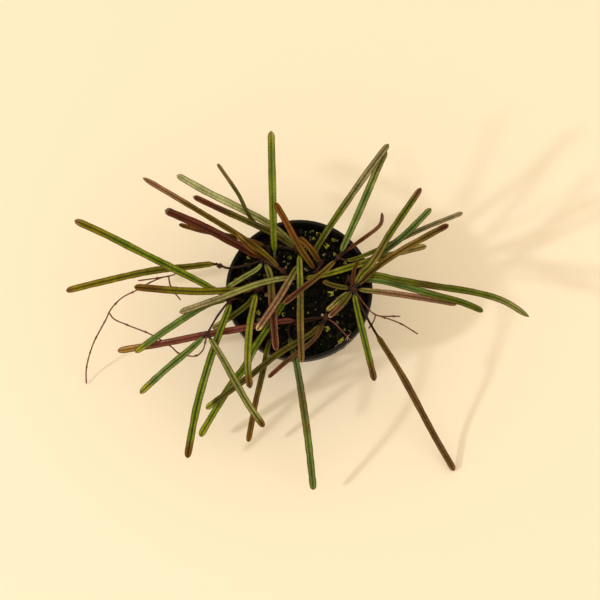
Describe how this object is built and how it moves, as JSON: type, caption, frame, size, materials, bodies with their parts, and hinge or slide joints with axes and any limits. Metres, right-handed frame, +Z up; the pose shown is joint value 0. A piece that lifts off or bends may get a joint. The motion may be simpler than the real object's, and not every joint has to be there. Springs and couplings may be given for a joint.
{
  "type": "potted hoya insularis",
  "caption": "Hoya insularis with long, narrow, fleshy leaves on wiry stems that arch and trail out of a thin black plastic nursery pot filled with dark potting mix.",
  "frame": {"origin": "centre of the pot's underside, on the plane the pot stands on", "axes": "+Z up through the pot; +X to the right as seen from the front, along the plant's longest spread; -Y towards the front"},
  "size_m": [0.3791, 0.2661, 0.1484],
  "materials": {
    "pot_plastic": "thin moulded black plastic, satin",
    "potting_mix": "coarse dark bark and peat, damp and matte",
    "leaf": "thick waxy leaf skin, satin",
    "stem": "thin brown bark on wiry stems and vines",
    "sprout": "soft young growth and moss, matte"
  },
  "bodies": {
    "root": {"pot": "pot_plastic", "soil": "potting_mix", "stem_left": "leaf", "stem_back": "leaf", "stem_centre": "leaf", "stem_rear": "leaf", "stem_right": "leaf", "stem_side": "leaf", "stem_front": "leaf", "stem_inner": "leaf", "stem_near_left": "leaf", "stem_trailing": "leaf", "shoot_upright": "leaf", "shoot_front": "leaf"}
  },
  "joints": []
}
